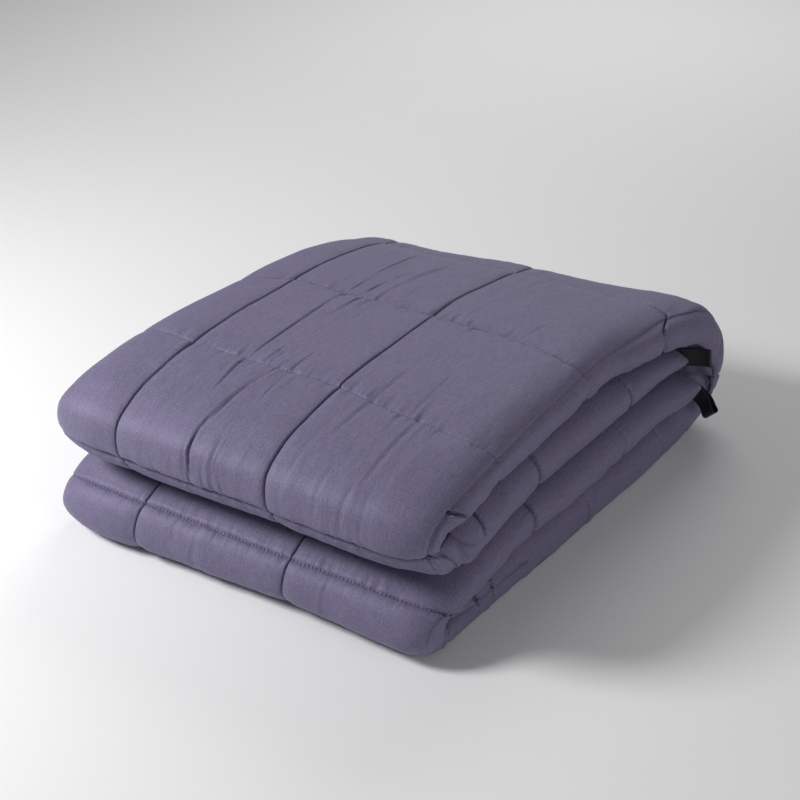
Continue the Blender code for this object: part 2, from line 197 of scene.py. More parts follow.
# Edge at the right, in squares unless noted. Heights are in half thicknesses of the layer.
SIDE_REACH = 0.28  # how far in from the stitch the layer starts to round down
SIDE_WIDEST = 0.052  # how far out of the stitch's line it bulges
SIDE_BULGE_HEIGHT = -0.35  # height of that place
SIDE_POWER = 2.3
SIDE_TUCK = 0.022  # how far the side draws in below its widest place
SIDE_SEAM = (-0.2, -0.02)  # between these distances from the stitch, cross seams take their side form
STITCH_FROM_TIP = 0.045
HEM_WAVE = (0.01, 2.9)  # how far the stitch's line sways, and how fast
HEM_THICKNESS = 0.006
HEM_SHOWN = 0.35  # from this share up, the perimeter stitches are made
HEM_LOWEST = -0.96  # height of its edge at the lowest
HEM_START = 0.02  # how far below the stitch it starts, in height
HEM_PINCH = 0.012  # depth of the perimeter stitch's groove
HEM_PINCH_REACH = 0.08  # its reach, as a share of the rounding above and the hem below it
HEM_SCALLOP = (0.1, 0.17)  # height of its edge's waves, and their length along the strip
HEM_RIPPLE = (0.009, 0.13)
HEM_FINE_RIPPLE = (0.4, 0.35)  # share of that depth and length for finer ripples
HEM_UNDERCUT = 0.03  # how far the side lies in below the hem's edge
UNDERCUT_FADE = 0.5  # and how much less of that is left at the foot
BODY_START = 0.01  # how far below the hem's edge that side starts, in height
BODY_FOOT = -0.97  # and the height at which it ends
HIDDEN_INSET = 0.035  # how far in from the stitch the hidden side ends
HIDDEN_RISE = 0.02  # and how far it rises to there, in height
CORNER_FULLNESS = 0.06  # how far a fold's side stands out where the hem changes sides
CORNER_POWER = 0.7
FLAT_HEIGHT = 0.14  # nearer the floor than this, the cross seams fade out on the side

# Left side: a round fold, where face and back share their relief up to a height (in half thicknesses).
LEFT_ALIKE = 0.9
LEFT_UNEVEN = (0.005, 0.7)  # depth, and length along the strip
LEFT_ROUND = 0.72
LEFT_ROUND_POWER = 2.2

# Creases and folds that are listed, a row for each: along and x at the start, along and x at the
# end, and in thousandths of a square how far its middle bows to the right, half its width, and its depth
# (below 0 for a ridge).
CREASES = (
    # the main crease of the middle column, from the second cross seam to the front
    (4.88, 0.375, 3.84, 0.385, 0, 12, 9.8),
    (4.62, 0.44, 3.98, 0.43, 6, 16, 4.5),
    (3.93, 0.362, 3.52, 0.408, 0, 12, 11.2),
    (3.89, 0.34, 3.6, 0.325, 0, 10, 4.2),
    (3.98, 0.6, 3.62, 0.545, 10, 15, 8.4),
    (3.76, 0.56, 3.2, 0.498, 6, 18, 13.4),
    (3.28, 0.502, 2.94, 0.56, -10, 11, 17),
    (3.24, 0.47, 2.98, 0.5, 4, 9, 9),
    (3.1, 0.504, 2.87, 0.552, -6, 8, 12),
    (3.26, 0.67, 2.94, 0.69, -6, 11, 13.4),
    (3.06, 0.735, 2.88, 0.745, 0, 7, 6.7),
    (3.14, 0.61, 2.88, 0.625, 0, 8, 4),
    (3.89, 0.668, 3.56, 0.694, 0, 12, 6),
    (3.7, 0.3, 3.3, 0.26, 10, 15, 3.9),
    # behind the second cross seam
    (4.82, 0.385, 5.55, 0.445, 0, 12, 11.2),
    (5.05, 0.39, 5.84, 0.375, 6, 13, 6.7),
    (4.82, 0.475, 5.4, 0.56, 0, 11, 9.5),
    (4.82, 0.605, 5.78, 0.66, -8, 14, 12.9),
    (4.82, 0.318, 5.14, 0.29, 0, 12, 9),
    (4.83, 0.15, 5, 0.11, 0, 11, 8.4),
    (4.82, 0.74, 5.3, 0.74, 0, 12, 8.4),
    # before it
    (4.88, 0.5, 4.44, 0.48, 0, 11, 7.3),
    (4.88, 0.578, 4.28, 0.545, 0, 12, 11.2),
    (4.88, 0.645, 4.5, 0.63, 0, 12, 8.4),
    # gathers on both sides of the first cross seam
    (4.1, 0.5, 3.88, 0.488, 0, 9, 7.3),
    (4.06, 0.54, 3.88, 0.525, 0, 9, 7.3),
    (4.13, 0.58, 3.88, 0.56, 0, 9, 5),
    (4.1, 0.63, 3.88, 0.61, 0, 10, 9.5),
    (4.14, 0.688, 3.88, 0.672, 0, 9, 4.5),
    (4.02, 0.75, 3.89, 0.745, 0, 7, 5.6),
    (4, 0.805, 3.89, 0.8, 0, 7, 6.7),
    (3.99, 0.86, 3.89, 0.865, 0, 7, 5),
    (4, 0.925, 3.89, 0.92, 0, 7, 6.7),
    (3.88, 0.745, 3.66, 0.74, 0, 9, 6.2),
    (3.88, 0.85, 3.74, 0.845, 0, 8, 4.5),
    (3.91, 0.11, 4.02, 0.08, 0, 9, 6.7),
    (3.91, 0.18, 4.05, 0.16, 0, 10, 4.5),
    (3.9, 0.27, 4.1, 0.26, 0, 10, 3.9),
    (3.91, -0.17, 4.08, -0.2, 0, 10, 6.2),
    (3.91, -0.28, 4.02, -0.3, 0, 9, 3.9),
    # right column
    (4.26, 1.25, 3.46, 1.2, 10, 21, 7.3),
    (4.1, 1.545, 3.24, 1.535, 6, 23, 7.3),
    (3.9, 1.715, 3.28, 1.705, 4, 23, 6.2),
    (3.3, 1.49, 2.95, 1.48, 0, 18, 3.1),
    (3.36, 1.61, 2.95, 1.6, 0, 18, 3.1),
    (3.86, 1.49, 4.34, 1.48, 4, 16, 5),
    (3.74, 1.7, 4.02, 1.69, 0, 15, 5),
    (4.84, 1.56, 5.16, 1.61, 0, 16, -6.7),
    (4.88, 1.18, 5.3, 1.21, 4, 15, 3.9),
    (3.6, 1.13, 3.2, 1.12, 0, 21, 3.1),
    (3.45, 1.32, 3, 1.33, 4, 21, 2.5),
    # lower front fold
    (10.6, 0.335, 10.44, 0.35, 0, 10, 7.8),
    (10.6, 0.365, 10.72, 0.36, 0, 8, 6.7),
    (10.6, 0.5, 10.3, 0.49, 4, 16, 2.2),
    (10.6, 1.35, 10.28, 1.34, 4, 16, 2.2),
    (10.6, -0.2, 10.36, -0.21, 4, 15, 2.2),
)
CREASE_FLANK = 1.1  # how much the cloth rises beside a crease
CREASE_WANDER = (0.25, 0.09)  # how far a crease wanders, in half widths, and over what length

# Broad low places: along and x of the middle, its reach in both ways, and its depth (below 0: high).
PRESSES = (
    (6.25, 0.3, 0.35, 0.4, 0.03),
    (6.25, 1.4, 0.35, 0.5, 0.036),
    (10.28, 1.15, 0.28, 0.7, 0.03),
    (10.28, 0.35, 0.28, 0.4, 0.014),
    (10.26, 1.9, 0.2, 0.12, -0.032),
    (3.05, -0.45, 0.3, 0.16, 0.004),
    (2.68, 1.945, 0.13, 0.075, -0.042),
)

HALF_LAYER = 0.13  # a layer's half thickness in squares, to tell how a side crease leans
# Creases of the layers' round right sides, a row for each: along and height at the start, along and
# height at the end, and half its width and its depth in thousandths. Height is in half thicknesses.
SIDE_CREASES = (
    (2.405, 1, 2.385, -0.18, 15, 95),  # layer 3, near the front
    (2.455, 0.6, 2.435, -0.3, 12, 14),
    (3.315, 0.46, 3.36, -0.6, 18, 62),  # the pleat in the top's hem
    (2.96, 0.5, 2.9, -0.3, 10, 16),
    (9.84, 0.55, 9.72, -0.45, 16, 45),  # layer 1
    (10.11, 0.4, 10.09, -0.4, 14, 30),
    (9.7, 0.5, 9.74, -0.5, 16, 10),
    (9.28, 0.55, 9.34, -0.3, 14, 12),
    (8.96, 0.55, 9.02, -0.2, 14, 14),
    (8.4, 0.5, 8.45, -0.3, 16, 10),
    (6.55, 0.2, 6.7, -0.7, 18, 14),  # wrap round the back
    (6.36, 0.6, 6.46, -0.2, 16, 12),
    (6.98, 0.4, 7.02, -0.5, 16, 12),
)


def ease(value, start, end):
    """0 before start and 1 after end, with a smooth step between."""
    share = np.clip((value - start) / (end - start), 0.0, 1.0)
    return share * share * (3.0 - 2.0 * share)


def noise(u, v, seed):
    """Smooth noise between -1 and 1, with about one hump for each unit of u and v.

    A number that is added to u or v picks another part of it.
    """
    size = 128
    table = np.random.default_rng(seed).uniform(-1.0, 1.0, (size, size))
    u, v = np.broadcast_arrays(np.asarray(u, float), np.asarray(v, float))
    low_u, low_v = (np.floor(value).astype(int) for value in (u, v))
    share_u, share_v = (share**3 * (share * (share * 6.0 - 15.0) + 10.0) for share in (u - low_u, v - low_v))
    a, b, c, d = (table[(low_u + step_u) % size, (low_v + step_v) % size]
                  for step_v in (0, 1) for step_u in (0, 1))
    return (a * (1 - share_u) + b * share_u) * (1 - share_v) + (c * (1 - share_u) + d * share_u) * share_v


def unit(vectors):
    """The vectors, each made one unit long."""
    return vectors / np.maximum(np.linalg.norm(vectors, axis=-1, keepdims=True), 1e-12)


def closest(values, value):
    """The number of the entry that is nearest to a value."""
    return int(np.argmin(np.abs(values - value)))


def travelled(points):
    """How far each point of a line lies from its start, along the line."""
    steps = np.linalg.norm(np.diff(points, axis=0), axis=1)
    return np.concatenate(([0.0], np.cumsum(steps)))


# --- The strip's sections, seams and rows ---
def fine_sections():
    """Every section column on a smooth curve through the table's rows, and the face's length."""
    table = np.array(SECTIONS)
    face, back = (np.hypot(*np.diff(table[:, pair], axis=0).T) for pair in ((0, 1), (2, 3)))
    steps = np.maximum(face, back)
    slopes = np.diff(table, axis=0) / steps[:, None]
    weights = (steps[1:] / (steps[1:] + steps[:-1]))[:, None]
    inner = slopes[:-1] * weights + slopes[1:] * (1.0 - weights)
    tangents = np.vstack((slopes[:1], inner, slopes[-1:]))
    share = (np.arange(CURVE_STEPS) / CURVE_STEPS)[:, None]
    start_part = 2 * share**3 - 3 * share**2 + 1
    start_bend = share**3 - 2 * share**2 + share
    end_bend = share**3 - share**2
    rows = [start_part * table[index] + (1 - start_part) * table[index + 1]
            + step * (start_bend * tangents[index] + end_bend * tangents[index + 1])
            for index, step in enumerate(steps)]
    fine = np.vstack((*rows, table[-1:]))
    lengths = np.hypot(*np.diff(fine[:, :2], axis=0).T)
    return fine, np.concatenate(([0.0], np.cumsum(lengths)))


FINE, LENGTHS = fine_sections()
TOTAL = float(LENGTHS[-1])
SEAM_TABLE = np.array(CROSS_SEAMS)
SEAM_PLACES = np.cumsum(SEAM_TABLE[:, 0])


def section(name, along):
    return np.interp(along, LENGTHS, FINE[:, SECTION_COLUMNS.index(name)])


def seam_bend(rows, x):
    """How far the strip's cross lines run out of line at x."""
    total = np.zeros_like(x)
    for index, bends in BENDS:
        share = np.interp(rows, SEAM_PLACES, np.arange(len(SEAM_PLACES)) == index)
        total += share[:, None] * np.interp(x, BEND_PLACES, bends)
    size, across_length, along_length = CROSS_WANDER
    return total + size * noise(x / across_length, rows[:, None] / along_length, seed=5)


def graded(start, end, first, growth, largest):
    """Places from start to end with short steps at both ends and longer ones between."""
    half = (end - start) / 2.0
    steps = []
    step = first
    while sum(steps) + step < half:
        steps.append(step)
        step = min(step * growth, largest)
    steps.append(half - sum(steps))
    if len(steps) > 1 and steps[-1] < steps[-2] * 0.5:
        steps[-2] += steps.pop()
    places = np.concatenate(([0.0], np.cumsum(steps)))
    mirrored = end - start - places[::-1]
    return start + np.concatenate((places[:-1], mirrored))


# Stretches of the strip whose face shows, in squares along it, and the largest row steps.
SHOWN = ((2.3, 7.25), (9.95, 11.35))
ROW_FIRST = 0.004
ROW_GROWTH = 1.6
ROW_STEP_SHOWN = 0.036
ROW_STEP_HIDDEN = 0.06
FINE_PLACES = (2.395, 3.34, 9.78, 10.11)  # creases that cross the strip at the layers' sides


def is_shown(along):
    return any(start <= along <= end for start, end in SHOWN)


def row_places():
    knots = np.sort(np.concatenate(([0.0], SEAM_PLACES, FINE_PLACES, [TOTAL])))
    places = []
    for start, end in zip(knots[:-1], knots[1:]):
        step = ROW_STEP_SHOWN if is_shown((start + end) / 2.0) else ROW_STEP_HIDDEN
        places.append(graded(start, end, ROW_FIRST, ROW_GROWTH, step)[:-1])
    places.append([TOTAL])
    return np.concatenate(places)


# --- Columns across the strip, each with a zone and a share of it ---
LEFT, MIDDLE, RIGHT, EDGE = range(4)
ROUNDING, HEM, BODY = range(3)  # the parts of the edge zone, down the side that shows
EDGE_SHARES = {
    ROUNDING: (0.0, 0.06, 0.13, 0.21, 0.3, 0.4, 0.51, 0.62, 0.73, 0.83, 0.91, 0.96, 1.0),
    HEM: (0.03, 0.08, 0.17, 0.3, 0.45, 0.6, 0.75, 0.88, 0.96, 1.0),
    BODY: (0.0, 0.12, 0.35, 0.65, 1.0),
}
EDGE_STEPS = [(part, share) for part, shares in EDGE_SHARES.items() for share in shares]
STITCH_STEP = EDGE_STEPS.index((ROUNDING, 1.0))
STITCH_ORDER = EDGE + STITCH_STEP / len(EDGE_STEPS)  # the stitch's column, as column_order counts


def column_set(first, largest, growth, roundings, creases=()):
    """(zone, share) for each column: graded beside the long seams and creases, rounded at the left."""
    angles = np.linspace(0.0, math.pi / 2.0, roundings)
    columns = [(LEFT, LEFT_ROUND * (1.0 - math.cos(angle))) for angle in angles]
    rest = graded(0.0, 1.0 - LEFT_ROUND, first * 2, growth, largest * 2)
    columns += [(LEFT, LEFT_ROUND + share) for share in rest[1:-1]]
    knots = (0.0, *creases, 1.0)
    for start, end in zip(knots[:-1], knots[1:]):
        columns += [(MIDDLE, share) for share in graded(start, end, first, growth, largest)[:-1]]
    columns += [(RIGHT, share) for share in graded(0.0, 1.0, first, growth, largest)[:-1]]
    columns += [(EDGE, float(step)) for step in range(len(EDGE_STEPS))]
    return columns


DENSE = column_set(first=0.0026, largest=0.0134, growth=1.5, roundings=14, creases=(0.38, 0.5, 0.58, 0.68))
SPARSE = column_set(first=0.016, largest=0.2, growth=2.3, roundings=10)


def column_order(columns):
    """One rising number for each column, so that rows with different columns can be joined."""
    return np.array([zone + (share / len(EDGE_STEPS) if zone == EDGE else share)
                     for zone, share in columns])


def side_width(height):
    """How far the layer's side lies to the right at a height, from the line of the stitch."""
    above = np.clip((height - SIDE_BULGE_HEIGHT) / (1.0 - SIDE_BULGE_HEIGHT), 0.0, 1.0)
    below = np.clip((SIDE_BULGE_HEIGHT - height) / (1.0 + SIDE_BULGE_HEIGHT), 0.0, 1.0)
    drawn_in = 1.0 - (1.0 - above**SIDE_POWER) ** (1.0 / SIDE_POWER)
    return SIDE_WIDEST - (SIDE_REACH + SIDE_WIDEST) * drawn_in - SIDE_TUCK * below**2


def shown_edge(step, sew, tip, hem):
    """The side that shows, at one step of the edge: distance from the stitch's line, and height."""
    part, share = EDGE_STEPS[step]
    if part == ROUNDING:
        height = 1.0 + share * (sew - 1.0)
        pinch = np.exp(-((1.0 - share) / HEM_PINCH_REACH) ** 2)
        return side_width(height) - HEM_PINCH * hem * pinch, height
    if part == HEM:
        height = sew - HEM_START + share * (tip - sew + HEM_START)
        rise = 1.0 - math.exp(-(share / HEM_PINCH_REACH) ** 2)
        return side_width(height) + hem * (rise * (HEM_PINCH + HEM_THICKNESS) - HEM_PINCH), height
    start = tip - BODY_START
    height = start + share * (BODY_FOOT - start)
    return side_width(height) - HEM_UNDERCUT * hem * (1.0 - UNDERCUT_FADE * share), height


def hidden_edge(share):
    """The other side, at a share of the edge: distance from the stitch's line, and height."""
    return -SIDE_REACH + (SIDE_REACH - HIDDEN_INSET) * share, -1.0 + HIDDEN_RISE * share**3


def column_places(columns, rows, side):
    """x and height of every column in every row, for one side of the cloth: 1 face, -1 back."""
    right, left, seam, hang, sew, tip, hem = (section(name, rows) for name in SECTION_COLUMNS[4:])
    stitch = right - STITCH_FROM_TIP + HEM_WAVE[0] * np.sin(HEM_WAVE[1] * rows)
    turn = (1.0 + side * hang) / 2.0  # 1 where this side shows at the edge
    scallop = HEM_SCALLOP[0] * noise(rows / HEM_SCALLOP[1], 0.0, seed=11)
    tip = np.maximum(tip + scallop * hem, HEM_LOWEST)
    x = np.zeros((len(rows), len(columns)))
    height = np.ones_like(x)
    for index, (zone, share) in enumerate(columns):
        if zone == LEFT:
            inward = min(share / LEFT_ROUND, 1.0)
            x[:, index] = left + share * (seam - left)
            height[:, index] = (1.0 - (1.0 - inward) ** LEFT_ROUND_POWER) ** (1.0 / LEFT_ROUND_POWER)
        elif zone == MIDDLE:
            x[:, index] = seam + share
        elif zone == RIGHT:
            x[:, index] = seam + 1.0 + share * (stitch - SIDE_REACH - seam - 1.0)
        else:
            out, show = shown_edge(int(share), sew, tip, hem)
            edge_share = share / (len(EDGE_STEPS) - 1.0)
            inner, lie = hidden_edge(edge_share)
            corner = CORNER_FULLNESS * 4.0 * turn * (1.0 - turn) * edge_share**CORNER_POWER
            x[:, index] = stitch + turn * out + (1.0 - turn) * inner + corner
            height[:, index] = turn * show - (1.0 - turn) * lie
    return x, height, stitch, turn


def shoulder(distance, depth_and_reach):
    depth, reach = depth_and_reach
    return depth * np.clip(1.0 - np.abs(distance) / reach, 0.0, 1.0) ** SHOULDER_SHARPNESS


def slot(distance, depth_and_width):
    depth, width = depth_and_width
    return depth * np.exp(-(distance / width) ** 2)


def crease(share, distance, width, depth):
    """A trough with a low rise on both sides. It fades towards its ends, where share is 0 and 1."""
    fading = np.clip(1.0 - np.abs(2.0 * share - 1.0) ** 3, 0.0, 1.0)
    square = (distance / width) ** 2
    return depth * fading * (1.0 - CREASE_FLANK * square) * np.exp(-square)


def crease_depth(along, x):
    """How deep the listed creases press the face in."""
    total = np.zeros_like(x)
    for index, (along_0, x_0, along_1, x_1, *sizes) in enumerate(CREASES):
        bow, width, depth = np.array(sizes) / 1000.0
        share = (along - along_0) / (along_1 - along_0)
        inside = np.clip(share, 0.0, 1.0)
        centre = x_0 + inside * (x_1 - x_0) + 4.0 * bow * inside * (1.0 - inside)
        centre += CREASE_WANDER[0] * width * noise(along / CREASE_WANDER[1], index, seed=61)
        total += crease(share, x - centre, width, depth)
    return total


def press_depth(along, x):
    """How far the broad low places lie below the rest."""
    return sum(depth * np.exp(-((along - along_0) / along_reach) ** 2 - ((x - x_0) / x_reach) ** 2)
               for along_0, x_0, along_reach, x_reach, depth in PRESSES)


def side_crease_depth(along, height):
    """The same for the creases of the round right sides."""
    total = np.zeros_like(along)
    for along_0, height_0, along_1, height_1, *sizes in SIDE_CREASES:
        width, depth = np.array(sizes) / 1000.0
        share = (height - height_0) / (height_1 - height_0)
        centre = along_0 + share * (along_1 - along_0)
        lean = math.hypot(1.0, (along_1 - along_0) / (HALF_LAYER * (height_1 - height_0)))
        total += crease(share, (along - centre) / lean, width, depth)
    return total


def shown_share(along):
    """1 where the face of the strip shows, less where it is hidden between the layers."""
    shares = [ease(along, start - SHOWN_MARGIN, start + SHOWN_MARGIN)
              * ease(-along, -end - SHOWN_MARGIN, -end + SHOWN_MARGIN) for start, end in SHOWN]
    return HIDDEN_RELIEF + (1.0 - HIDDEN_RELIEF) * np.clip(sum(shares), 0.0, 1.0)


def seam_value(grid, name):
    """A column of the cross seams' table, for the seam nearest to each point."""
    return SEAM_TABLE[grid.nearest, SEAM_COLUMNS.index(name)]


def long_groove(grid):
    """How deep the two long seams are sunk. Each wanders in its own way."""
    first, second = (grid.x - grid.seam - index
                     - sum(size * noise(grid.along / length, way, seed=3) for size, length in SEAM_WANDER)
                     for index, way in enumerate((0.5, 7.5)))
    distance = np.where(np.abs(first) < np.abs(second), first, second)
    return shoulder(distance, LONG_SHOULDER) + slot(distance, LONG_SLOT)


def cross_groove(grid):
    """How deep the cross seams are sunk."""
    soft = shoulder(grid.off, CROSS_SHOULDER) * (1.0 - (1.0 - SIDE_SHOULDER) * grid.at_edge)
    sunk = seam_value(grid, "depth") * (soft + slot(grid.off, CROSS_SLOT))
    sunk = sunk + seam_value(grid, "side_slot") * grid.at_edge * slot(grid.off, (1.0, SIDE_SLOT_WIDTH))
    sunk = sunk * (1.0 - grid.at_edge * (1.0 - ease(grid.level, 0.0, FLAT_HEIGHT)))
    return sunk * (LEFT_DEPTH + (1.0 - LEFT_DEPTH) * grid.from_left)


def crown(grid):
    """How full each square is."""
    from_seam = grid.x - grid.seam
    share_x = np.where(from_seam < 0.0, (grid.x + LEFT_REACH) / LEFT_REACH, np.mod(from_seam, 1.0))
    knots = np.concatenate(([0.0], SEAM_PLACES, [TOTAL]))
    share_along = np.interp(grid.along, knots, np.arange(float(len(knots)))) % 1.0
    full_x, full_along = (1.0 - np.abs(2 * share - 1) ** CROWN_POWER for share in (share_x, share_along))
    return CROWN * full_x * full_along


def gathers(grid):
    """Small folds that run out from the cross seams. Each side of each seam has its own pattern."""
    reach = seam_value(grid, "reach")
    pattern = np.sign(grid.off) * 3.0 + grid.nearest * 5.0 + grid.side
    folds = noise(grid.across / GATHER_PITCH, pattern + GATHER_DRIFT * grid.off / reach, seed=21)
    fine_depth, fine_pitch = GATHER_FINE
    folds += fine_depth * noise(grid.across / (fine_pitch * GATHER_PITCH), pattern * 0.7, seed=22)
    spread = 1.0 + GATHER_SPREAD[0] * noise(grid.across / GATHER_SPREAD[1], pattern * 0.4, seed=23)
    pinned = 1.0 - GATHER_PINNED[0] * np.exp(-(grid.off / GATHER_PINNED[1]) ** 2)
    fading = np.exp(-np.abs(grid.off) / (reach * spread))
    return GATHER_DEPTH * seam_value(grid, "gather") * folds * pinned * fading * grid.from_left


def rolled_fold(grid):
    """The folds of cloth that lie rolled beside some cross seams."""
    ridge = seam_value(grid, "ridge")
    away = (grid.off - RIDGE_PLACE * np.sign(ridge)) / RIDGE_WIDTH
    return RIDGE_HEIGHT * np.abs(ridge) * np.exp(-away**2) * (1.0 - grid.at_edge)


def unevenness(grid):
    """Slanted humps of several sizes."""
    slanted_x = grid.across + UNEVEN_SLANT[0] * grid.along
    slanted_along = grid.along - UNEVEN_SLANT[1] * grid.across
    return sum(size * noise(slanted_x / wide + 3.3 * grid.side, slanted_along / length + 0.4, seed=31 + index)
               for index, (size, wide, length) in enumerate(UNEVEN))


def streaks(grid):
    """Fine long humps along the strip."""
    return sum(size * noise(grid.across / wide, grid.along / length + 9.0 * grid.side, seed=41)
               for size, wide, length in STREAKS)


def hem_ripple(grid):
    """Ripples of the hem, which grow towards its edge."""
    depth, length = HEM_RIPPLE
    fine_depth, fine_length = HEM_FINE_RIPPLE
    ripple = depth * noise(grid.along / length, grid.side * 2.5, seed=51)
    ripple += fine_depth * depth * noise(grid.along / (fine_length * length), grid.side * 2.5, seed=52)
    return ripple * grid.showing * grid.hem_drop


def relief(grid):
    """How far each point of a side is raised, in squares."""
    total = crown(grid) + gathers(grid) + rolled_fold(grid) + unevenness(grid) + streaks(grid)
    kept = HIDDEN_RELIEF
    if grid.side > 0:
        total = total - crease_depth(grid.along, grid.x) - press_depth(grid.along, grid.x)
        kept = shown_share(grid.along)
    total = total * np.where(grid.on_edge, np.maximum(kept, EDGE_RELIEF * grid.showing), kept)
    alike = np.where(grid.on_left, 1.0 - ease(grid.height, 0.0, LEFT_ALIKE), 0.0)
    shared = alike * LEFT_UNEVEN[0] * noise(grid.along / LEFT_UNEVEN[1], 0.5, seed=33)
    total = total * (1.0 - alike) + shared
    sunk = np.hypot(long_groove(grid), cross_groove(grid))
    creased = side_crease_depth(grid.along, grid.height) * grid.on_edge * grid.showing
    return total - sunk - creased + hem_ripple(grid)


def drape(x, y):
    """Skew the back a little and draw its left corner in."""
    behind = np.maximum(0.0, y - BACK_START_Y)
    corner = np.maximum(0.0, CORNER_START_X - x) / CORNER_WIDTH
    return y + behind * (BACK_SKEW * (x - SKEW_PIVOT_X) - CORNER_DRAW * corner**2)


def grid_normals(points):
    """Unit normals of a grid of points, on the side to which the face's grid looks."""
    return unit(np.cross(np.gradient(points, axis=1), np.gradient(points, axis=0)))


def between(axis, along, share):
    """y or z of the strip, at a share of the way from its back to its face."""
    back = section("back_" + axis, along)
    return back + share * (section("face_" + axis, along) - back)


def smooth_side(rows, columns, side):
    """One side as a grid without relief, and what the relief is made from, in squares."""
    x, height, stitch, turn = column_places(columns, rows, side)
    bent = np.clip(rows[:, None] + seam_bend(rows, x), 0.0, TOTAL)
    share = (1.0 + side * height) / 2.0
    level = between("z", bent, share)
    points = np.stack((x, drape(x, between("y", bent, share)), level), axis=2)

    steps = np.linalg.norm(np.diff(points, axis=1), axis=2)
    across = np.concatenate((np.zeros((len(rows), 1)), np.cumsum(steps, axis=1)), axis=1)
    order = column_order(columns)
    seam = section("seam", rows)[:, None]
    along = rows[:, None] + 0.0 * x
    nearest = np.argmin(np.abs(along[..., None] - SEAM_PLACES), axis=-1)
    zones = np.array(columns)[:, 0]
    hem_drop = np.zeros(len(columns))
    hem_drop[-len(EDGE_STEPS):] = [share if part == HEM else 0.0 for part, share in EDGE_STEPS]
    showing = np.clip(turn, 0.0, 1.0)[:, None]
    return SimpleNamespace(
        side=side, points=points, normals=grid_normals(points) * side, order=order,
        x=x, height=height, level=level, seam=seam, along=along,
        across=across - across[:, [closest(order, MIDDLE)]] + seam,
        from_stitch=across - across[:, [closest(order, STITCH_ORDER)]],
        nearest=nearest,  # the nearest cross seam,
        off=along - SEAM_PLACES[nearest],  # and how far past it the point lies
        on_left=zones == LEFT, on_edge=zones == EDGE, hem_drop=hem_drop,
        showing=showing,  # 1 where this side shows at the right
        at_edge=ease(x - stitch[:, None], *SIDE_SEAM) * showing,
        from_left=ease(x - section("left", along), *LEFT_PLAIN),
    )


def strip_side(rows, columns, side):
    """One side of the cloth, 1 for the face and -1 for the back: a grid with relief and guides."""
    grid = smooth_side(rows, columns, side)
    grid.points = grid.points + grid.normals * relief(grid)[..., None]
    grid.points[..., 2] = np.maximum(grid.points[..., 2], 0.0)
    no_hem = 1.0 * (section("hem", rows)[:, None] < HEM_SHOWN)  # no stitch line where no hem shows
    cloth = np.stack((grid.across, grid.along, np.full_like(grid.x, side)), axis=2) * SQUARE
    # the first seams guide is how dark the painted shade of the needle holes is
    seams = np.stack((seam_value(grid, "holes"), np.abs(grid.off) * SQUARE,
                      (np.abs(grid.from_stitch) + no_hem) * SQUARE), axis=2)
    grid.table = np.concatenate((grid.points, cloth, seams), axis=2)
    return grid


# --- Meshes ---
quilt_low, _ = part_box("quilt")
ORIGIN = np.array((quilt_low.x + LEFT_REACH * SQUARE, quilt_low.y + FRONT_REACH * SQUARE, 0.0))


def to_frame(points):
    return np.asarray(points) * SQUARE + ORIGIN


def add_object(name, data):
    item = bpy.data.objects.new(name, data)
    bpy.context.scene.collection.objects.link(item)
    return item


def make_mesh(name, points, faces, material, guides=None):
    mesh = bpy.data.meshes.new(name)
    mesh.from_pydata(points.tolist(), [], faces)
    mesh.materials.append(material)
    for guide, values in (guides or {}).items():
        attribute = mesh.attributes.new(guide, "FLOAT_VECTOR", "POINT")
        attribute.data.foreach_set("vector", np.ascontiguousarray(values, np.float32).ravel())
    mesh.validate()
    mesh.shade_smooth()
    return add_object(name, mesh)


def tube_faces(base, rings, sides):
    """Faces of a closed tube whose points are numbered ring by ring from base."""
    faces = []
    for ring in range(base, base + (rings - 1) * sides, sides):
        for side in range(sides):
            ahead = (side + 1) % sides
            faces.append((ring + side, ring + sides + side, ring + sides + ahead, ring + ahead))
    end = base + rings * sides
    faces.append(tuple(range(base, base + sides)))
    faces.append(tuple(range(end - 1, end - sides - 1, -1)))
    return faces


def join_rows(first, first_order, second, second_order):
    """Faces between two rows of point numbers, with quads where their columns are the same."""
    if len(first) == len(second):
        return list(zip(first[:-1], first[1:], second[1:], second[:-1]))
    next_first = np.append(first_order[1:], np.inf)
    next_second = np.append(second_order[1:], np.inf)
    faces = []
    i = 0
    j = 0
    while i < len(first) - 1 or j < len(second) - 1:
        if next_first[i] <= next_second[j]:
            faces.append((first[i], first[i + 1], second[j]))
            i += 1
        else:
            faces.append((first[i], second[j + 1], second[j]))
            j += 1
    return faces


def turned(faces):
    """The faces, looking the other way."""
    return [face[::-1] for face in faces]


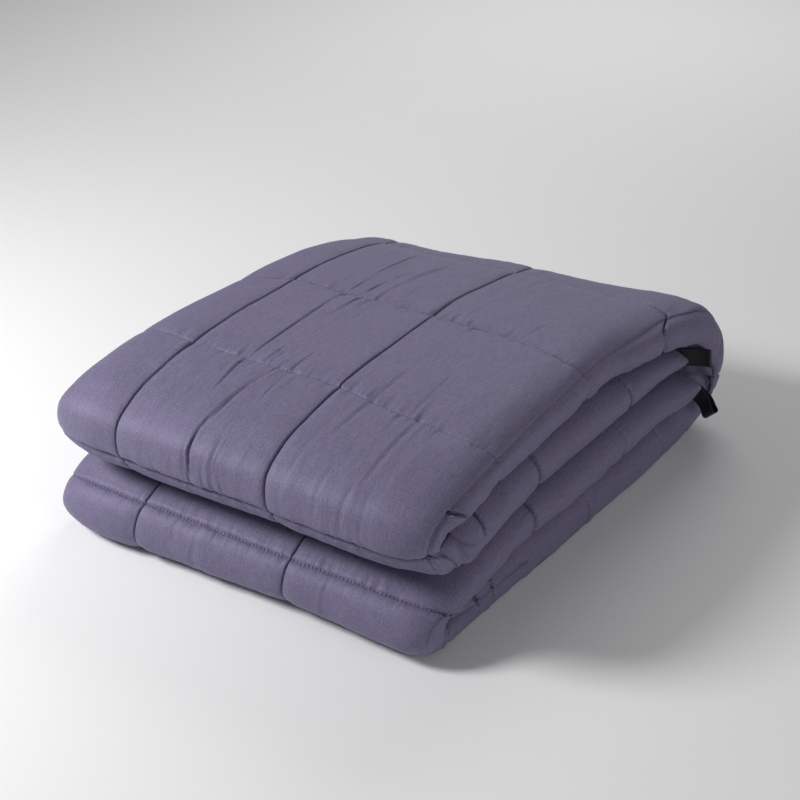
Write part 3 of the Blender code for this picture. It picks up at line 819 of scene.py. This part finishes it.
def build_quilt(material):
    """The quilted cloth, and its rows and sides. Where its face shows, it has more columns."""
    rows = row_places()
    dense = strip_side(rows, DENSE, 1)
    sparse = strip_side(rows, SPARSE, 1)
    back = strip_side(rows, SPARSE, -1)
    face = [dense if is_shown(place) else sparse for place in rows]
    parts = []
    count = 0

    def add_row(grid, row, first=0):
        nonlocal count
        parts.append(grid.table[row, first:])
        numbers = list(range(count, count + len(parts[-1])))
        count += len(numbers)
        return numbers

    upper = [add_row(grid, row) for row, grid in enumerate(face)]
    lower = [numbers[:1] + add_row(back, row, 1) for row, numbers in enumerate(upper)]
    faces = []
    for row in range(len(rows) - 1):
        faces += join_rows(upper[row], face[row].order, upper[row + 1], face[row + 1].order)
        faces += turned(join_rows(lower[row], back.order, lower[row + 1], back.order))
        faces.append((upper[row][-1], lower[row][-1], lower[row + 1][-1], upper[row + 1][-1]))
    faces += turned(join_rows(upper[0], face[0].order, lower[0], back.order))
    faces += join_rows(upper[-1], face[-1].order, lower[-1], back.order)
    faces = [tuple(dict.fromkeys(numbers)) for numbers in faces]  # both sides share their left points
    points, cloth, seams = np.split(np.vstack(parts), 3, axis=1)
    item = make_mesh("quilt_cloth", to_frame(points), faces, material, {"cloth": cloth, "seams": seams})
    return item, rows, dense, back


# --- Stitches: small spindles of thread, made where the cloth shows ---
STITCH_PITCH = 0.024  # squares, which is 3 mm
STITCH_LENGTH = 0.0019  # metres, as are the next three
STITCH_RADIUS = 0.00022
STITCH_LIFT = 0.0001  # how far the middle of its thread lies above the cloth
STITCH_DIP = 0.00035  # and how far its ends lie below that
STITCH_RINGS = ((-0.5, 0.35), (-0.28, 0.95), (0.0, 1.1), (0.28, 0.95), (0.5, 0.35))
STITCH_SIDES = 6
STITCHED_SEAMS = (2, 3, 4, 5, 6, 10)  # rows of the cross seams' table
FIRST_STITCH = 0.12  # where a cross seam's stitches start at the left, as column_order counts


def read_line(values, places, at):
    """Vectors along a line of points, read at other places."""
    return np.stack([np.interp(at, places, column) for column in values.T], axis=1)


def stitch_run(points, normals):
    """Middle, direction and normal of each stitch along a line of points, in metres."""
    points = to_frame(points)
    places = travelled(points)
    pitch = STITCH_PITCH * SQUARE
    middles = np.arange(pitch / 2.0, places[-1], pitch)
    centre = read_line(points, places, middles)
    normal = unit(read_line(normals, places, middles))
    direction = read_line(points, places, middles + pitch / 3.0) - centre
    direction -= (direction * normal).sum(axis=1)[:, None] * normal
    return centre, unit(direction), normal


def seam_runs(rows, face, back):
    """The lines of stitches: the cross seams that show, and the perimeter all along the strip."""
    runs = []
    crossing = (face.order > FIRST_STITCH) & (face.order < STITCH_ORDER)
    for index in STITCHED_SEAMS:
        row = closest(rows, SEAM_PLACES[index])
        runs.append(stitch_run(face.points[row, crossing], face.normals[row, crossing]))
    on_face = section("hang", rows) > 0.0
    shown = section("hem", rows) >= HEM_SHOWN
    changes = np.flatnonzero(np.diff(on_face * 2 + shown)) + 1
    for stretch in np.split(np.arange(len(rows)), changes):
        if shown[stretch[0]]:
            side = face if on_face[stretch[0]] else back
            column = closest(side.order, STITCH_ORDER)
            runs.append(stitch_run(side.points[stretch, column], side.normals[stretch, column]))
    return runs


def build_stitches(runs, material):
    """All the stitches, each a closed tube of a few rings."""
    centre, direction, normal = (np.vstack(parts)[:, None] for parts in zip(*runs))
    sideways = np.cross(direction, normal)
    angles = 2.0 * math.pi * np.arange(STITCH_SIDES)[:, None] / STITCH_SIDES
    rings = []
    for share, thickness in STITCH_RINGS:
        lift = STITCH_LIFT - STITCH_DIP * (2.0 * share) ** 2
        middle = centre + direction * share * STITCH_LENGTH + normal * lift
        radius = STITCH_RADIUS * thickness
        rings.append(middle + radius * (np.cos(angles) * sideways + np.sin(angles) * normal))
    points = np.stack(rings, axis=1)  # stitch, ring, side, axis
    size = len(STITCH_RINGS) * STITCH_SIDES
    faces = []
    for base in range(0, len(centre) * size, size):
        faces += tube_faces(base, len(STITCH_RINGS), STITCH_SIDES)
    return make_mesh("quilt_stitches", points.reshape(-1, 3), faces, material)


# --- Ribbon loops ---
# Each is a flat ribbon, folded in two and sewn to the cloth. A row holds its name, its route out from
# the root in squares, the way across its width, and how far apart its legs are at the tip, in metres.
RIBBON_WIDTH = 0.0145
RIBBON_THICKNESS = 0.0007
RIBBON_EDGE = 0.0011  # thickness of the woven edges
RIBBON_EDGE_START = 0.86  # where they begin, as a share of the half width
RIBBON_RIM = 0.25  # how thick each face is at the rim, as a share of the ribbon's thickness
ROOT_GAP = 0.0007  # between the two legs at the root
GAP_POWER = 1.5  # how late the legs part on their way out
ROUTE_STEPS = 10
TURN_STEPS = 10
ACROSS_STEPS = 13
LOOPS = (
    ("loop_upper", ((2.1, 2.141, 0.545), (2.17, 2.15, 0.556), (2.235, 2.155, 0.566),
                    (2.285, 2.15, 0.571)), (-0.1, 0.0, 1.0), 0.0012),
    ("loop_lower", ((2.15, 2.158, 0.345), (2.22, 2.164, 0.31), (2.288, 2.152, 0.262),
                    (2.334, 2.128, 0.21)), (0.25, -0.1, 0.95), 0.0046),
)


def smooth_route(points):
    """A smooth curve through a few points."""
    padded = np.vstack((2 * points[0] - points[1], points, 2 * points[-1] - points[-2]))
    places = []
    for index in range(1, len(points)):
        before, start, end, after = padded[index - 1:index + 3]
        for share in np.arange(ROUTE_STEPS) / ROUTE_STEPS:
            places.append(0.5 * (2 * start + (end - before) * share
                                 + (2 * before - 5 * start + 4 * end - after) * share**2
                                 + (3 * start - before - 3 * end + after) * share**3))
    places.append(points[-1])
    return np.array(places)


def ribbon_path(route, across, tip_gap):
    """A ribbon's line out along the route, round its tip and back, with the ways of its width and face."""
    places = smooth_route(np.array([(x, drape(x, y), z) for x, y, z in route]) * SQUARE)
    directions = unit(np.gradient(places, axis=0))
    outward = unit(np.cross(directions, across))
    shares = np.linspace(0.0, 1.0, len(places))[:, None]
    half_gap = (ROOT_GAP + shares**GAP_POWER * (tip_gap - ROOT_GAP) + RIBBON_THICKNESS) / 2.0
    angles = np.linspace(0.0, math.pi, TURN_STEPS + 1)[1:-1, None]
    turn = np.cos(angles) * outward[-1] + np.sin(angles) * directions[-1]
    middles = np.vstack((places + half_gap * outward, places[-1] + half_gap[-1] * turn,
                         (places - half_gap * outward)[::-1]))
    sides = np.vstack((outward, turn, -outward[::-1]))
    return middles, unit(np.cross(np.gradient(middles, axis=0), sides)), sides


def build_loop(name, route, across, tip_gap, material):
    """A ribbon loop, and how long its ribbon is."""
    middles, widths, sides = ribbon_path(route, across, tip_gap)
    shares = np.linspace(-1.0, 1.0, ACROSS_STEPS)
    heights = np.where(np.abs(shares) > RIBBON_EDGE_START, RIBBON_EDGE, RIBBON_THICKNESS) / 2.0
    heights[[0, -1]] = RIBBON_THICKNESS * RIBBON_RIM
    ring_across = np.concatenate((shares, shares[::-1])) * RIBBON_WIDTH / 2.0
    ring_heights = np.concatenate((heights, -heights[::-1]))
    points = (middles[:, None] + widths[:, None] * ring_across[:, None]
              + sides[:, None] * ring_heights[:, None])
    distances = travelled(middles)
    guide = np.stack(np.broadcast_arrays(distances[:, None], ring_across, 0.0), axis=2)
    faces = tube_faces(0, len(middles), len(ring_across))
    item = make_mesh(name + "_ribbon", points.reshape(-1, 3) + ORIGIN, faces, material, {"cloth": guide})
    return item, float(distances[-1])


# --- Materials ---
CLOTH_COLOR = (0.14, 0.126, 0.202)
THREAD_COLOR = (0.125, 0.114, 0.175)
RIBBON_COLOR = (0.012, 0.012, 0.016)


class Value:
    """An output of a node. Its sums, differences and products are Math nodes."""

    def __init__(self, nodes, socket):
        self.nodes = nodes
        self.socket = socket

    def math(self, operation, other=0.0):
        return self.nodes.add("Math", {0: self, 1: other}, operation=operation)[0]

    def __add__(self, other):
        return self.math("ADD", other)

    def __sub__(self, other):
        return self.math("SUBTRACT", other)

    def __mul__(self, other):
        return self.math("MULTIPLY", other)


class Nodes:
    """A material and its node tree."""

    def __init__(self, name):
        self.material = bpy.data.materials.new(name)
        self.material.use_nodes = True
        self.tree = self.material.node_tree

    def connect(self, node, inputs):
        """Give a node's inputs their numbers, or links to values."""
        for key, value in inputs.items():
            if isinstance(value, Value):
                self.tree.links.new(value.socket, node.inputs[key])
            else:
                node.inputs[key].default_value = value

    def add(self, kind, inputs, **settings):
        """The outputs of a new node."""
        node = self.tree.nodes.new("ShaderNode" + kind)
        for key, value in settings.items():
            setattr(node, key, value)
        self.connect(node, inputs)
        return [Value(self, socket) for socket in node.outputs]

    def guide(self, name):
        """A guide of the mesh as a vector, and as its three numbers."""
        _, vector, *_ = self.add("Attribute", {}, attribute_name=name)
        return vector, self.add("SeparateXYZ", {0: vector})

    def noise(self, vector, scale, detail, roughness=0.5):
        mapped = self.add("Mapping", {"Vector": vector, "Scale": scale})[0]
        return self.add("TexNoise", {"Vector": mapped, "Scale": 1.0, "Detail": detail,
                                               "Roughness": roughness})[0]

    def material_with(self, inputs):
        """The material, with these inputs of its shader."""
        self.connect(self.tree.nodes["Principled BSDF"], inputs)
        return self.material


# Noise cells for each metre across the strip and along it
WARP = (1050.0, 95.0, 1.0)
WEFT = (120.0, 1250.0, 1.0)
GRAIN = (900.0, 900.0, 1.0)
MOTTLE = (55.0, 35.0, 1.0)
PUCKER = (330.0, 60.0, 1.0)
YARN_DETAIL = (2.0, 0.6)  # detail and roughness of the yarns' noise
WARP_SHARE = 0.6  # how much the warp counts against the weft
YARN_HEIGHT = 0.00028  # metres, as are the next ones
GRAIN_HEIGHT = 0.00014
PUCKER_HEIGHT = 0.0008
PUCKER_REACH = 0.005
HOLE_RADIUS = 0.00078
HOLE_EDGE = 1.8  # how sharp its edge is
HOLE_SHADE = 0.92  # how much darker painted shade makes a needle hole
YARN_SHADE = 1.05  # how much the yarns' colour varies
MOTTLE_SHADE = 0.16
RIB_PITCH = 0.0007
RIB_BUMP = {"Strength": 0.5, "Distance": 0.00012}


def needle_holes(place, distance):
    """1 in the needle holes of a seam, where painted shade darkens the cloth, and 0 elsewhere."""
    wave = (place * (2.0 * math.pi / (STITCH_PITCH * SQUARE))).math("COSINE")
    hole = (wave * HOLE_EDGE).math("MAXIMUM", 0.0).math("MINIMUM", 1.0)
    near = distance * (1.0 / HOLE_RADIUS)
    return hole * (near * near * -1.0).math("EXPONENT")


def cloth_material():
    nodes = Nodes("cloth")
    guide, (across, along, _) = nodes.guide("cloth")
    _, (hole_shade_share, from_seam, from_stitch) = nodes.guide("seams")
    warp = nodes.noise(guide, WARP, *YARN_DETAIL)
    weft = nodes.noise(guide, WEFT, *YARN_DETAIL)
    grain = nodes.noise(guide, GRAIN, 2.0)
    mottle = nodes.noise(guide, MOTTLE, 4.0)
    yarns = warp * WARP_SHARE + weft * (1.0 - WARP_SHARE)

    shade = (yarns - 0.5) * YARN_SHADE + (grain - 0.5) * YARN_SHADE + (mottle - 0.5) * MOTTLE_SHADE
    holes = (needle_holes(across, from_seam) + needle_holes(along, from_stitch)) * hole_shade_share
    # painted shade darkens the cloth in the needle holes
    shade = (shade + 1.0) * (holes.math("MINIMUM", 1.0) * -HOLE_SHADE + 1.0)
    color = nodes.add("VectorMath", {0: CLOTH_COLOR, "Scale": shade}, operation="SCALE")[0]

    near_seam = (from_seam.math("ABSOLUTE") * (-1.0 / PUCKER_REACH)).math("EXPONENT")
    pucker = nodes.noise(guide, PUCKER, 1.0) * near_seam
    height = pucker * PUCKER_HEIGHT + yarns * YARN_HEIGHT + grain * GRAIN_HEIGHT
    bump = nodes.add("Bump", {"Strength": 1.0, "Distance": 1.0, "Height": height})[0]
    return nodes.material_with({
        "Base Color": color,
        "Normal": bump,
        "Roughness": 0.6,
        "Sheen Weight": 0.1,
        "Sheen Roughness": 0.45,
        "Sheen Tint": (0.72, 0.68, 1.0, 1.0),
        "Specular IOR Level": 0.55,
        "Specular Tint": (0.74, 0.68, 1.0, 1.0),
    })


def ribbon_material():
    nodes = Nodes("ribbon")
    _, (along, _, _) = nodes.guide("cloth")
    ribs = (along * (2.0 * math.pi / RIB_PITCH)).math("SINE")
    bump = nodes.add("Bump", {"Height": ribs, **RIB_BUMP})[0]
    return nodes.material_with({"Base Color": (*RIBBON_COLOR, 1.0), "Normal": bump, "Roughness": 0.55})


def plain_material(name, color, roughness):
    return Nodes(name).material_with({"Base Color": (*color, 1.0), "Roughness": roughness})


# --- Stage ---
def make_camera():
    data = bpy.data.cameras.new("camera")
    data.lens = CAMERA_LENS
    data.sensor_width = CAMERA_SENSOR
    camera = add_object("camera", data)
    camera.location = to_frame(CAMERA_PLACE)
    camera.rotation_euler = (math.pi / 2.0 - CAMERA_PITCH, 0.0, CAMERA_YAW)
    bpy.context.scene.camera = camera


def make_floor():
    corners = ((-1.0, -1.0), (1.0, -1.0), (1.0, 1.0), (-1.0, 1.0))
    points = np.array([(x * FLOOR_REACH, y * FLOOR_REACH, FLOOR_LEVEL) for x, y in corners])
    floor = make_mesh("floor", points, [(0, 1, 2, 3)], plain_material("floor", FLOOR_COLOR, 0.9))


def make_light(name, place, target, size, power):
    data = bpy.data.lights.new(name, "AREA")
    data.shape = "DISK"
    data.size = size
    data.energy = power
    light = add_object(name, data)
    light.location = place
    aim = Vector(target) - Vector(place)
    light.rotation_euler = aim.to_track_quat("-Z", "Y").to_euler()


def make_world():
    world = bpy.data.worlds.new("studio")
    world.use_nodes = True
    background = world.node_tree.nodes["Background"]
    background.inputs["Color"].default_value = (1.0, 1.0, 1.0, 1.0)
    background.inputs["Strength"].default_value = WORLD_STRENGTH
    bpy.context.scene.world = world
    bpy.context.scene.view_settings.view_transform = "Standard"


def main():
    make_camera()
    make_world()
    make_floor()
    for light in LIGHTS:
        make_light(*light)

    quilt, rows, face, back = build_quilt(cloth_material())
    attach(quilt, "root")
    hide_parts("quilt")

    stitches = build_stitches(seam_runs(rows, face, back), plain_material("thread", THREAD_COLOR, 0.7))
    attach(stitches, "root")

    ribbon = ribbon_material()
    for name, route, across, tip_gap in LOOPS:
        loop, length = build_loop(name, route, across, tip_gap, ribbon)
        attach(loop, "root")
        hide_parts(name)


main()
